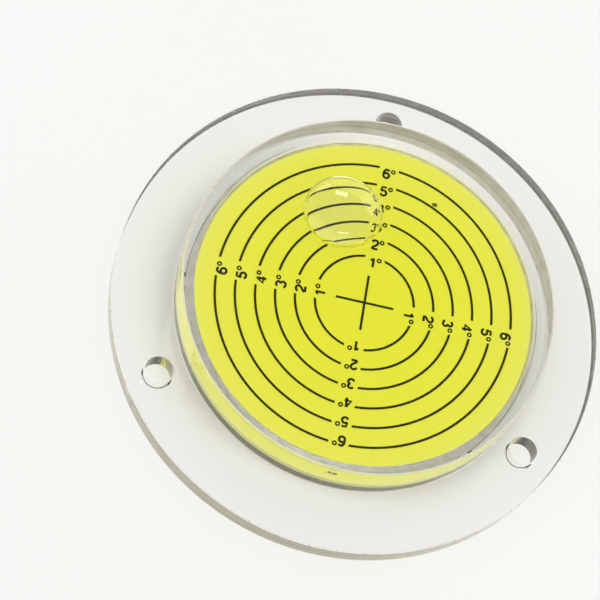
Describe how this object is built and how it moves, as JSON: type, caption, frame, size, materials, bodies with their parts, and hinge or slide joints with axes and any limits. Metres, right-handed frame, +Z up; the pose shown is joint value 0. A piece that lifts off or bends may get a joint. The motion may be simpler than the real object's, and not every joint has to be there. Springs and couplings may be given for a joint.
{
  "type": "bullseye level",
  "caption": "Round bullseye level: a clear flanged body with screw holes holds tinted liquid and an air bubble over a dial with degree rings and a centre cross.",
  "frame": {"origin": "centre of the flange's underside", "axes": "+Z up, out of the window; +Y towards the screw hole that one label column of the dial points at"},
  "size_m": [0.12, 0.12, 0.019],
  "materials": {
    "clear_acrylic": "polished",
    "base_grey": "matt",
    "dial_white": "matt",
    "print_black": "matt ink",
    "level_liquid": "clear, tinted yellow-green"
  },
  "bodies": {
    "root": {"housing": "clear_acrylic", "base_plate": "base_grey", "dial_disc": "dial_white", "dial_print": "print_black", "liquid": "level_liquid"}
  },
  "joints": []
}
